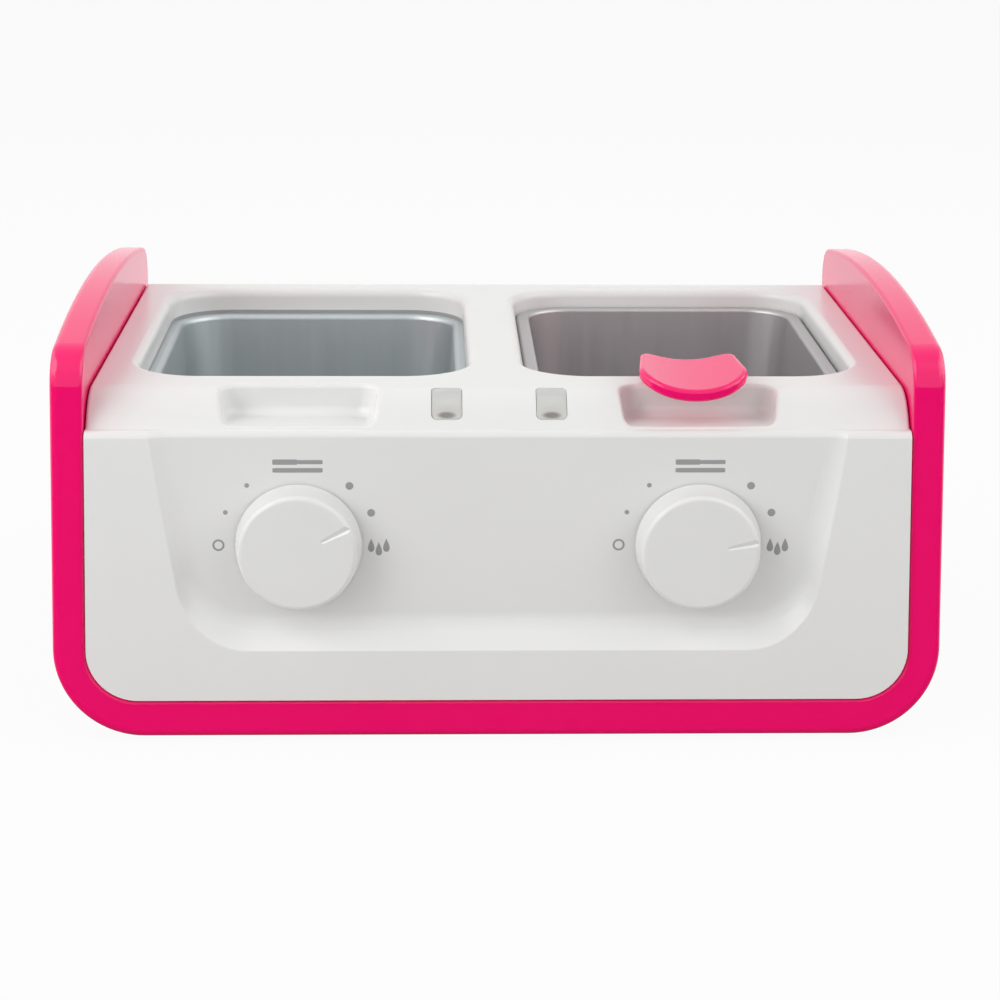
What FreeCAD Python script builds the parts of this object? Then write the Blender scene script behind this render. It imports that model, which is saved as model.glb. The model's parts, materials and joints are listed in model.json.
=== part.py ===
import FreeCAD, Part
import math
import os

from FreeCAD import Vector

# A wax heater with two wells, two dials and a lift-out pan. Sizes are in millimetres, angles in degrees.
# X runs to the right, Y from front to back, Z up from the floor. Pieces are made with Y zero at the front
# seam; at export the whole object is shifted so that it stands centred on the origin.

# Whole body
body_width = 280.0  # across the cradle's sides, at the seam
body_depth = 192.0  # front seam to rear seam
seam_height = 101.3  # floor to the seam below the top cover
cover_rise = 10.7  # seam to the cover's flat top
foot_height = 2.0  # floor to the cradle's underside
face_lean = 3.5  # front and rear faces, from upright
side_draft = 1.2  # sides, from upright
fit_gap = 0.3  # between mouldings that stand side by side
overrun = 6.0  # how far a cutter passes the faces that it cuts
pick_gap = 0.01  # how near an edge lies to the surfaces that it is picked by

# Cradle with its two handles
side_band = 10.4  # width of the cradle beside the front panel, at the seam
bottom_band = 12.2  # height of the cradle below the front panel
cradle_corner = 28.5  # outer bottom corners
window_corner = 16.5  # inner bottom corners
cradle_wall = 3.0
cradle_setback = 0.8  # cradle's front edge behind the panel's face
shoulder_rise = 13.5  # cover's top to the handle's shoulder, before rounding
shoulder_round = 12.5
handle_slope = 8.5  # handle's top edge at the shoulder
crown_share = 0.82  # part of the half depth that the handle's crown arc takes
outer_round = 2.5
inner_round = 1.2
handle_seat = 14.0  # handle's inner wall, from the cover's top down

# Front and rear panels
panel_gap = 0.4  # round the panels, to the cradle
panel_wall = 2.5
panel_top_round = 2.4  # front panel's upper edge
top_facet_angles = (18.0, 36.0, 54.0, 72.0)  # facets of that edge, from upright
shelf_wall = 2.5  # front panel's shelf under the cover's foot
tongue_reach = 2.5  # edge of the panel caught behind the cradle's front wall
tongue_wall = 1.5
lug_wall = 2.5
lug_half = 7.0
recess_margin = 20.5  # panel's side edge to the recess floor, at the seam
recess_slope = 12.0  # recess sides, from upright
recess_rise = 16.3  # panel's bottom edge to the recess
recess_sill = 7.9  # height of the recess's sloping bottom wall
recess_run = 4.5  # width of its sloping side walls
recess_corner = 24.0
recess_round = 0.8
recess_foot_round = 9.0  # recess floor into its walls
dial_inset = 1.6  # recess floor behind the front seam

# Knobs and spindles
knob_radius = 20.0
knob_margin = 5.4  # recess floor's lower edge to the knob
knob_face_radius = 18.5
knob_depth = 9.6
knob_gap = 0.6  # knob to the recess floor
knob_round = 1.6
knob_wall = 2.2
hub_radius = 5.5
spindle_radius = 3.0
spindle_flat = 0.8  # depth of the flat that the knob drives
bore_clearance = 0.05
shaft_clearance = 1.0  # spindle to the panel's hole
pointer_left = 26.0  # pointer above the horizontal, as the knobs stand
pointer_right = 10.0
pointer_share = 0.46  # pointer's inner end on the face's radius
pointer_tip_share = 0.4  # pointer's inner end, of its width and depth at the rim
pointer_width = 2.0  # pointer's shallow upper side
pointer_step = 0.9  # pointer's steep lower side
pointer_depth = 0.8

# Top cover
cover_wall = 2.5
cover_setback = 4.1  # cover's front foot behind the front panel's face
cover_slope = 34.0  # cover's front wall, from upright
cover_round = 16.0  # over its front
rear_setback = 1.6  # cover's rear foot before the rear panel's face
rear_slope = 8.0  # cover's rear wall, from upright
rear_round = 5.0  # over its rear
cover_side_round = 1.0
side_margin = 12.5  # cradle's inner side to an opening
bridge = 18.6  # between the two openings
front_margin = 34.0  # front seam to the openings
rear_margin = 16.4  # openings to the rear seam
opening_corner = 21.0
lip_depth = 8.0  # cover's top to the lip's lower edge
lip_wall = 2.5
lip_round = 3.0
scoop_half = 25.0  # at the cover's top
scoop_draft = 8.0  # scoop's sides, from upright
scoop_floor = 0.7  # scoop's floor above the seam
scoop_floor_round = 3.0
scoop_ridge = 14.0  # between scoop and opening
scoop_wall = 1.6
scoop_corner = 6.0
scoop_round = 1.4
post_radius = 4.0
post_inset = 21.0  # front posts, from the cradle's inner side
post_setback = 17.0  # front posts, from the front seam
post_spacing = 25.0  # middle posts, from the openings' ends
stop_gap = 0.1  # end of a screw to the bottom of its hole

# Lamp windows and lamps
lens_x = 16.5
lens_half = 4.9
lens_rise = 2.6  # seam to the window's lower edge
lens_reach = 16.6  # front seam to the window's rear edge
lens_clearance = 0.15
lens_sink = 0.3  # lens surface below the cover's
lens_rim = 1.5
lens_rim_wall = 1.2
lens_corner = 1.6
lamp_radius = 2.6
lamp_gap = 0.5  # lamp to the lens's rim
lamp_top = 4.6  # tip of the lamp above the seam
lamp_length = 14.0
holder_half = 4.6
holder_height = 9.0
holder_back = 19.9
bracket_wall = 1.6

# Wells, seals and clips
seal_wall = 1.0
flange_wall = 1.2
ledge = 3.8  # flange that shows inside the lip
well_wall = 1.2
well_draft = 3.0
well_floor_round = 8.0
well_mouth_round = 2.0
service_height = 47.0  # cradle's floor to the wells' underside
clip_offset = 19.9  # clips, from the openings' sides
clip_half = 5.0
clip_wall = 1.2
clip_overlap = 2.0
boss_radius = 3.0
boss_gap = 0.5

# Heaters below the wells
heater_margin = 12.0  # well's wall to the heater
heater_wall = 3.0
clamp_margin = 6.0
clamp_wall = 1.5
plate_corner = 6.0
stud_radius = 2.5
stud_length = 12.0
nut_radius = 4.6
nut_height = 4.0
fuse_radius = 2.2
fuse_half = 8.0
fuse_offset = 22.0
tab_half = 3.2
tab_wall = 0.8
tab_length = 7.0
tab_offset = 10.0  # terminals, from the middle of what carries them

# Shield
shield_gap = 4.0  # below the studs
shield_wall = 0.8
shield_inset = 16.0  # from the cradle's inner sides and the openings' ends
pillar_radius = 4.0
pillar_inset = 8.0  # pillars, from the shield's corners
post_clearance = 1.5  # shield to the posts that pass it

# Thermostats
strap_half = 23.0
strap_height_half = 8.0
strap_wall = 1.2
strap_screw_offset = 18.0
strap_boss_radius = 3.2
strap_boss_length = 6.0
thermostat_half = 13.5
thermostat_height_half = 13.0
thermostat_depth = 15.0
spindle_depth = 11.0  # spindle inside the thermostat
running_clearance = 0.06

# Pan and its handle
rim_gap = 1.0  # pan's rim to the opening
rim_height = 2.7
rim_round = 1.2
pan_gap = 1.0  # pan to the well's wall
pan_wall = 1.0
pan_floor_gap = 2.0
pan_floor_round = 7.0
handle_shift = -1.6  # tab's middle, from the well's
tab_depth = 36.0
tab_front_half = 18.2
tab_back_half = 15.0
tab_bow = 3.5  # front edge, middle ahead of its corners
tab_thick = 3.9
tab_rise = 3.0  # tab's upper side above the cover, at the scoop's rear edge
tab_dish = 36.0  # radius that the tab is dished to
tab_tilt = 3.7
tab_clearance = 0.6  # tab to the ridge behind the scoop
tab_corner = 12.0
tab_back_corner = 6.0
tab_round = 1.3
neck_half = 9.0
neck_wall = 2.6
foot_pad_half = 14.0
foot_pad_wall = 2.2
rivet_radius = 1.1
rivet_head_radius = 1.5
rivet_head = 0.8
rivet_offset = 11.0

# Screws
screw_radius = 1.75
head_radius = 3.2
head_height = 2.4
thread_clearance = 0.05
hole_clearance = 0.35
head_clearance = 0.5
long_screw = 14.0
short_screw = 6.0

# Feet, cord gland, terminal block and wires
foot_radius = 8.0
foot_inset_x = 46.0  # feet, from the cradle's sides
foot_inset_y = 30.0  # feet, from the seams
plug_radius = 3.0
gland_offset = 6.8  # gland's axis, beyond the right well's middle
gland_rise = 12.0  # rear panel's bottom edge to the gland's axis
cord_radius = 3.6
gland_neck = 5.4
gland_flange = 7.5
gland_flange_wall = 2.0
gland_clearance = 0.1
block_half = 14.0
block_depth = 18.0
block_height = 13.0
block_setback = 38.0  # terminal block's front to the rear seam
wire_radius = 1.1
wire_bend = 4.0
wire_rise = 6.0  # wires above the cradle's floor
wire_step = 5.0  # between wires that run side by side

# Levels and places that follow from the sizes above
lean = math.tan(math.radians(face_lean))
draft = math.tan(math.radians(side_draft))
half_width = body_width / 2
inner_half = half_width - side_band
cover_top = seam_height + cover_rise
floor_top = foot_height + cradle_wall
window_bottom = foot_height + bottom_band
panel_bottom = window_bottom + panel_gap
lug_bottom = panel_bottom - tongue_reach
tongue_top = cover_top - handle_seat - fit_gap
dial_height = panel_bottom + recess_rise + recess_sill + knob_margin + knob_radius
panel_back = dial_inset + panel_wall
opening_half_x = (inner_half - side_margin - bridge / 2) / 2
opening_half_y = (body_depth - front_margin - rear_margin) / 2
well_x = bridge / 2 + opening_half_x
well_y = front_margin + opening_half_y
gland_x = well_x + gland_offset
rear_edge = body_depth - rear_margin
lip_bottom = cover_top - lip_depth
flange_top = lip_bottom - seal_wall
flange_bottom = flange_top - flange_wall
well_bottom = floor_top + service_height
stack_bottom = well_bottom - heater_wall - clamp_wall
shield_top = well_bottom - stud_length - shield_gap
shield_bottom = shield_top - shield_wall
scoop_back = front_margin - scoop_ridge
strap_front = panel_back + strap_boss_length
strap_back = strap_front + strap_wall
knob_back = dial_inset - knob_gap
knob_front = knob_back - knob_depth
rim_top = flange_top + rim_height
pan_bottom = well_bottom + well_wall + pan_floor_gap
pad_top = rim_top + foot_pad_wall
handle_x = well_x + handle_shift
shield_half = inner_half - shield_inset
shield_front = front_margin + shield_inset
shield_rear = rear_edge - shield_inset
post_x = inner_half - post_inset
front_posts = [(-post_x, post_setback), (post_x, post_setback)]
middle_posts = [(0, front_margin + post_spacing), (0, rear_edge - post_spacing)]
sides = [("left", -1), ("right", 1)]
BACK = Vector(0, 1, 0)
UP = Vector(0, 0, 1)
RIGHT = Vector(1, 0, 0)


def face_y(z):
    """Y of the front panel's face at a height; zero at the seam and further forward below it."""
    return (z - seam_height) * lean


def spread(z):
    """How much further out the drafted sides stand at a height than at the seam."""
    return (seam_height - z) * draft


gland_height = panel_bottom + gland_rise
lean_angle = math.radians(face_lean)
gland_back = gland_flange_wall * math.cos(lean_angle) + gland_flange * math.sin(lean_angle)
front_most = min(face_y(foot_height) + cradle_setback, knob_front)
rear_most = body_depth - min(face_y(gland_height) - gland_back, face_y(foot_height) + cradle_setback)
middle_y = (front_most + rear_most) / 2


def rounded(points, radii):
    """Closed wire through points of one plane, each corner rounded to its radius."""
    arcs = []
    for index, (corner, radius) in enumerate(zip(points, radii)):
        before = (points[index - 1] - corner).normalize()
        after = (points[(index + 1) % len(points)] - corner).normalize()
        half = before.getAngle(after) / 2
        reach = radius / math.tan(half)
        middle = corner + (before + after).normalize() * (radius / math.sin(half) - radius)
        arcs.append((corner + before * reach, middle, corner + after * reach))
    edges = []
    for index, (start, middle, end) in enumerate(arcs):
        if (end - start).Length > pick_gap:
            edges.append(Part.Arc(start, middle, end).toShape())
        follower = arcs[(index + 1) % len(arcs)][0]
        if (follower - end).Length > pick_gap:
            edges.append(Part.makeLine(end, follower))
    return Part.Wire(edges)


def across(points, radii):
    """Prism along X of a rounded outline given as (y, z) pairs, wider than the body."""
    reach = half_width + overrun + spread(0)
    wire = rounded([Vector(-reach, y, z) for y, z in points], radii)
    return Part.Face(wire).extrude(RIGHT * (2 * reach))


def along(points, radii):
    """Prism along Y of a rounded outline given as (x, z) pairs, deeper than the body."""
    start = face_y(0) - overrun
    wire = rounded([Vector(x, start, z) for x, z in points], radii)
    return Part.Face(wire).extrude(BACK * (body_depth - 2 * start))


def upright(points, radii, bottom, top):
    """Prism along Z of a rounded outline given as (x, y) pairs."""
    wire = rounded([Vector(x, y, bottom) for x, y in points], radii)
    return Part.Face(wire).extrude(UP * (top - bottom))


def rectangle(x, y, half_x, half_y):
    """Corners of a rectangle about a middle, as (x, y) pairs."""
    near = [(x - half_x, y - half_y), (x + half_x, y - half_y)]
    return near + [(x + half_x, y + half_y), (x - half_x, y + half_y)]


def pad(x, y, half_x, half_y, corner, bottom, top):
    """Upright block with a rounded rectangular plan."""
    return upright(rectangle(x, y, half_x, half_y), [corner] * 4, bottom, top)


def block(x0, x1, y0, y1, z0, z1):
    """Plain block between two corners."""
    return Part.makeBox(x1 - x0, y1 - y0, z1 - z0, Vector(x0, y0, z0))


def rod(radius, start, end):
    """Round bar between two points."""
    return Part.makeCylinder(radius, (end - start).Length, start, end - start)


def middle_of(edge):
    """Point in the middle of an edge."""
    return edge.valueAt((edge.FirstParameter + edge.LastParameter) / 2)


def edges_on(shape, *skins):
    """Edges of a shape whose middle lies on the outside of each of the given solids."""
    found = []
    for edge in shape.Edges:
        spot = Part.Vertex(middle_of(edge))
        if all(spot.distToShape(skin.Shells[0])[0] < pick_gap for skin in skins):
            found.append(edge)
    return found


def edges_where(shape, test):
    """Edges of a shape whose middle point passes a test."""
    return [edge for edge in shape.Edges if test(middle_of(edge))]


# Cradle: a U of constant band round the front, bottom and sides; its sides rise into arched handles.
def u_prism(half, bottom, corner, top):
    """Prism of a U outline whose half width is given at the seam and whose sides are drafted."""
    points = [(-half - spread(top), top), (-half - spread(bottom), bottom)]
    points += [(half + spread(bottom), bottom), (half + spread(top), top)]
    return along(points, [0, corner, corner, 0])


def side_prism(inset):
    """Prism of the cradle's side view: leaning ends, rounded shoulders and a shallow crown arc."""
    rise = math.tan(math.radians(handle_slope))
    shoulder = cover_top + shoulder_rise - inset
    start = face_y(shoulder) + cradle_setback + inset
    foot = face_y(-overrun) + cradle_setback + inset
    crown = shoulder + (body_depth / 2 - start) * rise
    points = [(foot, -overrun), (start, shoulder), (body_depth / 2, crown)]
    points += [(body_depth - start, shoulder), (body_depth - foot, -overrun)]
    bend = shoulder_round - inset
    return across(points, [0, bend, crown_share * body_depth / 2 / rise, bend, 0])


def floor_places():
    """Where the feet stand, as (x, y) pairs."""
    return rectangle(0, body_depth / 2, half_width - foot_inset_x, body_depth / 2 - foot_inset_y)


def pillar_places():
    """Where the shield is carried, as (x, y) pairs."""
    half_y = (shield_rear - shield_front) / 2
    middle = (shield_rear + shield_front) / 2
    return rectangle(0, middle, shield_half - pillar_inset, half_y - pillar_inset)


def post_foot(place):
    """Height at which a post of the cover ends: on a panel's lug, or on the cradle's own boss."""
    return lug_bottom if place == middle_posts[0] else lug_bottom + lug_wall


def make_cradle():
    top = cover_top + shoulder_rise + body_depth
    outer = u_prism(half_width, foot_height, cradle_corner, top)
    inner = u_prism(inner_half, window_bottom, window_corner, top + overrun)
    view = side_prism(0)
    body = outer.common(view)
    body = body.makeFillet(outer_round, edges_on(body, outer, view))
    body = body.cut(inner)
    body = body.makeFillet(inner_round, edges_on(body, inner, view))
    hollow = u_prism(half_width - cradle_wall, floor_top, cradle_corner - cradle_wall, top)
    inside = side_prism(cradle_wall)
    lining = u_prism(inner_half + cradle_wall, foot_height, window_corner, top + overrun)
    below = block(-body_width, body_width, -body_depth, 2 * body_depth, 0, cover_top - handle_seat)
    core = hollow.common(inside)
    body = body.cut(core.cut(lining)).cut(core.common(below))
    for x, y in front_posts + middle_posts:
        body = body.fuse(rod(head_radius + cradle_wall, Vector(x, y, foot_height), Vector(x, y, lug_bottom)))
    for x, y in pillar_places():
        body = body.fuse(rod(pillar_radius, Vector(x, y, foot_height), Vector(x, y, shield_bottom)))
    cuts = []
    seat = lug_bottom - cradle_wall
    for x, y in front_posts + middle_posts:
        cuts.append(rod(head_radius + head_clearance, Vector(x, y, 0), Vector(x, y, seat)))
        cuts.append(rod(screw_radius + hole_clearance, Vector(x, y, 0), Vector(x, y, lug_bottom)))
    for x, y in pillar_places():
        hole_end = shield_bottom - short_screw + shield_wall - stop_gap
        cuts.append(rod(screw_radius + thread_clearance, Vector(x, y, hole_end), Vector(x, y, shield_bottom)))
    for x, y in floor_places():
        cuts.append(rod(plug_radius + bore_clearance, Vector(x, y, 0), Vector(x, y, floor_top)))
    for cut in cuts:
        body = body.cut(cut)
    return body.removeSplitter()


def make_feet():
    feet = []
    for x, y in floor_places():
        foot = rod(foot_radius, Vector(x, y, 0), Vector(x, y, foot_height))
        feet.append(foot.fuse(rod(plug_radius, Vector(x, y, 0), Vector(x, y, floor_top))).removeSplitter())
    return Part.makeCompound(feet)


def pan_head_screw(head_seat, direction, length):
    """Screw with its head against a seat and its shank pointing along a direction."""
    head = rod(head_radius, head_seat - direction * head_height, head_seat)
    return head.fuse(rod(screw_radius, head_seat, head_seat + direction * length)).removeSplitter()


def make_base_screws():
    seat = lug_bottom - cradle_wall
    places = front_posts + middle_posts
    return Part.makeCompound([pan_head_screw(Vector(x, y, seat), UP, long_screw) for x, y in places])


# Panels: each stands in the cradle's window, with a rim and a tongue caught behind the cradle's edge.
def leaning_slab(near, far, top):
    """Slab along X between two depths behind the leaning front face."""
    foot = foot_height - overrun
    points = [(face_y(foot) + near, foot), (face_y(top) + near, top)]
    points += [(face_y(top) + far, top), (face_y(foot) + far, foot)]
    return across(points, [0] * 4)


def window_prism(inset, top):
    """Prism of the panel's outline, drawn in from the cradle's window by an inset."""
    return u_prism(inner_half - inset, window_bottom + inset, window_corner - inset, top)


def panel_shell():
    """The plain panel that both ends share: plate, rim and tongue."""
    outline = window_prism(panel_gap, seam_height)
    inside = window_prism(panel_gap + panel_wall, seam_height + overrun)
    tongue = window_prism(panel_gap - tongue_reach, tongue_top)
    behind = cradle_setback + cradle_wall + fit_gap
    plate = outline.common(leaning_slab(0, panel_wall, seam_height))
    rim = outline.cut(inside).common(leaning_slab(0, behind + tongue_wall, tongue_top))
    edge = tongue.cut(inside).common(leaning_slab(behind, behind + tongue_wall, tongue_top))
    return plate.fuse(rim).fuse(edge)


def lug(x, y):
    """Tongue of a panel that a base screw clamps under a post, reaching back from the panel's foot."""
    start = face_y(lug_bottom) + cradle_setback + cradle_wall + fit_gap
    plate = block(x - lug_half, x + lug_half, start, y + lug_half, lug_bottom, lug_bottom + lug_wall)
    return plate.cut(rod(screw_radius + hole_clearance, Vector(x, y, 0), Vector(x, y, seam_height)))


def recess_outline(y, half, bottom, corner):
    """Wire of the dial recess at a depth: a trapezium that is open past the panel's top."""
    slope = math.tan(math.radians(recess_slope))
    top = seam_height + overrun
    low = half - (seam_height - bottom) * slope
    high = half + overrun * slope
    points = [(-high, top), (-low, bottom), (low, bottom), (high, top)]
    return rounded([Vector(x, y, z) for x, z in points], [0, corner, corner, 0])


def recess_void(grow, depth):
    """Sloping-walled void of the recess, from ahead of the panel to a depth."""
    half = inner_half - panel_gap - recess_margin + grow
    mouth_bottom = panel_bottom + recess_rise - grow
    mouth_y = face_y(panel_bottom + recess_rise)
    floor = recess_outline(depth, half, mouth_bottom + recess_sill, recess_corner)
    mouth = recess_outline(mouth_y, half + recess_run, mouth_bottom, recess_corner)
    front = Part.Face(mouth).extrude(-BACK * overrun)
    return Part.makeLoft([floor, mouth], True, True).fuse(front)


def panel_shelf():
    """Shelf behind the front panel's upper edge, for the cover's foot, left out below the scoops."""
    under = seam_height - shelf_wall
    reach = cover_setback + cover_wall
    shelf = window_prism(panel_gap, seam_height).common(leaning_slab(0, reach, seam_height))
    shelf = shelf.common(block(-body_width, body_width, -body_depth, body_depth, under, seam_height))
    half = scoop_half + scoop_wall
    for side in (-1, 1):
        x = side * well_x
        shelf = shelf.cut(block(x - half, x + half, -body_depth, body_depth, 0, seam_height + overrun))
    return shelf


def swept_back(air, angle):
    """The space before the panel, swept back by a facet that touches the rounded upper edge at an angle."""
    turn = math.radians(angle)
    start = seam_height - panel_top_round * (1 - math.tan(turn / 2))
    sweep = FreeCAD.Matrix()
    sweep.A23 = math.tan(turn)
    sweep.A24 = -start * math.tan(turn)
    above = block(-body_width, body_width, -body_depth, body_depth, start, seam_height + overrun)
    return air.transformGeometry(sweep).common(above)


def make_front_panel():
    face = leaning_slab(0, body_depth, seam_height)
    tray = recess_void(panel_wall, panel_back).common(face)
    void = recess_void(0, dial_inset)
    foot = edges_where(void, lambda p: abs(p.y - dial_inset) < pick_gap and p.z < seam_height)
    void = void.makeFillet(recess_foot_round, foot)
    body = panel_shell().fuse(tray).fuse(panel_shelf()).cut(void).removeSplitter()
    mouth = edges_on(body, void, face)
    mouth = [edge for edge in mouth if middle_of(edge).z < seam_height - pick_gap]
    body = body.makeFillet(recess_round, mouth)
    air = leaning_slab(-overrun, 0, seam_height + overrun).fuse(void)
    for angle in top_facet_angles:
        body = body.cut(swept_back(air, angle))
    for side in (-1, 1):
        x = side * well_x
        for offset in (-strap_screw_offset, strap_screw_offset):
            start = Vector(x + offset, panel_back - panel_wall / 2, dial_height)
            end = Vector(x + offset, strap_front, dial_height)
            body = body.fuse(rod(strap_boss_radius, start, end))
            hole = end - BACK * (short_screw - strap_wall + stop_gap)
            body = body.cut(rod(screw_radius + thread_clearance, hole, end))
        axis = Vector(x, 0, dial_height)
        body = body.cut(rod(spindle_radius + shaft_clearance, axis - BACK * overrun, axis + BACK * overrun))
    for x, y in front_posts:
        body = body.fuse(lug(x, y))
    return body.removeSplitter()


def turned(shape):
    """A piece of the front turned half round to stand at the back."""
    copy = shape.copy()
    copy.rotate(Vector(0, body_depth / 2, 0), UP, 180)
    return copy


def gland_axis():
    """Where the gland's axis meets the rear panel's outer face, and the direction out of the panel."""
    outward = Vector(0, math.cos(lean_angle), math.sin(lean_angle))
    return Vector(gland_x, body_depth - face_y(gland_height), gland_height), outward


def make_rear_panel():
    x, y = middle_posts[1]
    body = turned(panel_shell().fuse(lug(x, body_depth - y)))
    spot, outward = gland_axis()
    hole = rod(gland_neck + gland_clearance, spot - outward * overrun, spot + outward * overrun)
    return body.cut(hole).removeSplitter()


def make_cord_gland():
    spot, outward = gland_axis()
    inside = spot - outward * panel_wall
    body = rod(gland_flange, spot, spot + outward * gland_flange_wall)
    body = body.fuse(rod(gland_neck, inside, spot))
    body = body.fuse(rod(gland_flange, inside - outward * gland_flange_wall, inside))
    bore = rod(cord_radius, spot - outward * body_depth, spot + outward * body_depth)
    return body.cut(bore).removeSplitter()


# Top cover: a lid between the handles, with two lipped openings, scoops, windows and posts.
def wall_depth(setback, angle, inset, z):
    """How far behind a panel's face the cover's sloping wall stands at a height, drawn in by an inset."""
    slope = math.radians(angle)
    return setback + inset / math.cos(slope) + (z - seam_height) * math.tan(slope)


def cover_prism(inset, bottom):
    """Prism of the cover's side view, drawn in from its outer surface by an inset."""
    top = cover_top - inset
    front = [(wall_depth(cover_setback, cover_slope, inset, z), z) for z in (bottom, top)]
    rear = [(body_depth - wall_depth(rear_setback, rear_slope, inset, z), z) for z in (top, bottom)]
    bends = [max(bend - inset, fit_gap) for bend in (cover_round, rear_round)]
    return across(front + rear, [0] + bends + [0])


def cover_block(inset, bottom):
    """Solid of the cover between the cradle's inner sides, drawn in by an inset."""
    gap = fit_gap + inset
    low = inner_half + spread(bottom) - gap
    top = cover_top + overrun
    high = inner_half + spread(top) - gap
    points = [(-low, bottom), (low, bottom), (high, top), (-high, top)]
    return cover_prism(inset, bottom).common(along(points, [0] * 4))


def opening_prism(side, grow, bottom, top):
    """Rounded prism of one opening, grown on every side."""
    half_x = opening_half_x + grow
    return pad(side * well_x, well_y, half_x, opening_half_y + grow, opening_corner + grow, bottom, top)


def scoop_solid(side, grow):
    """Finger scoop that widens upwards, open to the front, with a rounded foot, grown on every side."""
    x = side * well_x
    front = face_y(0) - overrun
    back = scoop_back + grow
    bottom = seam_height + scoop_floor - grow
    corner = scoop_corner + grow
    wires = []
    for z in (bottom, cover_top + overrun):
        half = scoop_half + grow + (z - cover_top) * math.tan(math.radians(scoop_draft))
        points = [(x - half, front), (x + half, front), (x + half, back), (x - half, back)]
        wires.append(rounded([Vector(*point, z) for point in points], [0, 0, corner, corner]))
    solid = Part.makeLoft(wires, True, True)
    foot = edges_where(solid, lambda p: abs(p.z - bottom) < pick_gap and p.y > front + pick_gap)
    return solid.makeFillet(scoop_floor_round + grow, foot)


def lens_solid(side, grow):
    """Block that cuts a lamp window out of the cover's front edge, grown on every side."""
    x = side * lens_x
    half = lens_half + grow
    bottom = seam_height + lens_rise - grow
    back = lens_reach + grow
    solid = block(x - half, x + half, face_y(0), back, bottom, cover_top + overrun)
    on_rear = edges_where(solid, lambda p: abs(p.y - back) < pick_gap and abs(p.x - x) > pick_gap)
    on_floor = edges_where(solid, lambda p: abs(p.z - bottom) < pick_gap and abs(p.x - x) > pick_gap)
    return solid.makeFillet(lens_corner + grow, on_rear + on_floor)


def clip_places(side):
    """Screw places of one well's clips, as (x, y, way to the flange)."""
    reach = lip_wall + boss_gap + boss_radius
    half = opening_half_x - clip_offset
    places = []
    for offset in (-half, half):
        places.append((side * well_x + offset, front_margin - reach, 1))
        places.append((side * well_x + offset, rear_edge + reach, -1))
    return places


def make_top_cover():
    body = cover_block(0, seam_height)
    skin = cover_block(0, seam_height)
    above = cover_top + overrun
    flanks = edges_where(body, lambda p: abs(p.x) > inner_half - side_margin and p.z > seam_height + pick_gap)
    body = body.makeFillet(cover_side_round, flanks)
    for side in (-1, 1):
        opening = opening_prism(side, 0, 0, above)
        body = body.cut(opening)
        rims = edges_on(body, opening, skin)
        rims = [edge for edge in rims if middle_of(edge).z > lip_bottom]
        body = body.makeFillet(lip_round, rims)
        scoop = scoop_solid(side, 0)
        tray = scoop_solid(side, scoop_wall)
        near = panel_back + fit_gap
        tray = tray.common(block(-body_width, body_width, near, body_depth, 0, seam_height))
        body = body.fuse(tray).cut(scoop)
        mouth = [edge for edge in edges_on(body, scoop, skin) if middle_of(edge).z > seam_height + pick_gap]
        body = body.makeFillet(scoop_round, mouth)
    void = cover_block(cover_wall, seam_height - overrun)
    for side in (-1, 1):
        lip = opening_prism(side, lip_wall, lip_bottom, cover_top)
        void = void.cut(lip).cut(scoop_solid(side, scoop_wall))
    body = body.cut(void)
    root = cover_top - cover_wall / 2
    core = cover_prism(cover_wall / 2, foot_height)
    for x, y in front_posts + middle_posts:
        foot = post_foot((x, y))
        body = body.fuse(rod(post_radius, Vector(x, y, foot), Vector(x, y, root)).common(core))
        end = lug_bottom - cradle_wall + long_screw + stop_gap
        body = body.cut(rod(screw_radius + thread_clearance, Vector(x, y, foot), Vector(x, y, end)))
    for side in (-1, 1):
        body = body.cut(lens_solid(side, 0))
        x = side * lens_x
        half = holder_half
        back = holder_back + bracket_wall
        foot = seam_height + lamp_top - lamp_length - holder_height / 2
        body = body.fuse(block(x - half, x + half, holder_back, back, foot, root))
        for x, y, way in clip_places(side):
            body = body.fuse(rod(boss_radius, Vector(x, y, flange_bottom), Vector(x, y, root)).common(core))
            end = flange_bottom - clip_wall + short_screw + stop_gap
            start = Vector(x, y, flange_bottom)
            body = body.cut(rod(screw_radius + thread_clearance, start, Vector(x, y, end)))
    return body.removeSplitter()


# Lamp windows: a lens that follows the cover's surface, with a rim behind it, and a lamp in its holder.
def make_lens(side):
    deep = cover_wall + lens_rim_wall
    hollow = cover_prism(deep, seam_height - overrun)
    face = cover_prism(lens_sink, seam_height).cut(hollow).common(lens_solid(side, -lens_clearance))
    rim = cover_prism(cover_wall, seam_height).cut(hollow).common(lens_solid(side, lens_rim))
    return face.fuse(rim).removeSplitter()


def lamp_centre(side):
    """Middle of the lamp's round tip, behind the lens's rim."""
    z = seam_height + lamp_top - lamp_radius
    inset = cover_wall + lens_rim_wall + lamp_gap + lamp_radius
    return Vector(side * lens_x, wall_depth(cover_setback, cover_slope, inset, z), z)


def make_lamp(side):
    centre = lamp_centre(side)
    stem = rod(lamp_radius, centre - UP * (lamp_length - lamp_radius), centre)
    return stem.fuse(Part.makeSphere(lamp_radius, centre)).removeSplitter()


def make_lamp_holder(side):
    x = side * lens_x
    low = seam_height + lamp_top - lamp_length
    bottom = low - holder_height / 2
    y = lamp_centre(side).y
    near = y - holder_half
    body = block(x - holder_half, x + holder_half, near, holder_back, bottom, bottom + holder_height)
    socket = rod(lamp_radius + bore_clearance, Vector(x, y, low), Vector(x, y, cover_top))
    return body.cut(socket)


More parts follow.
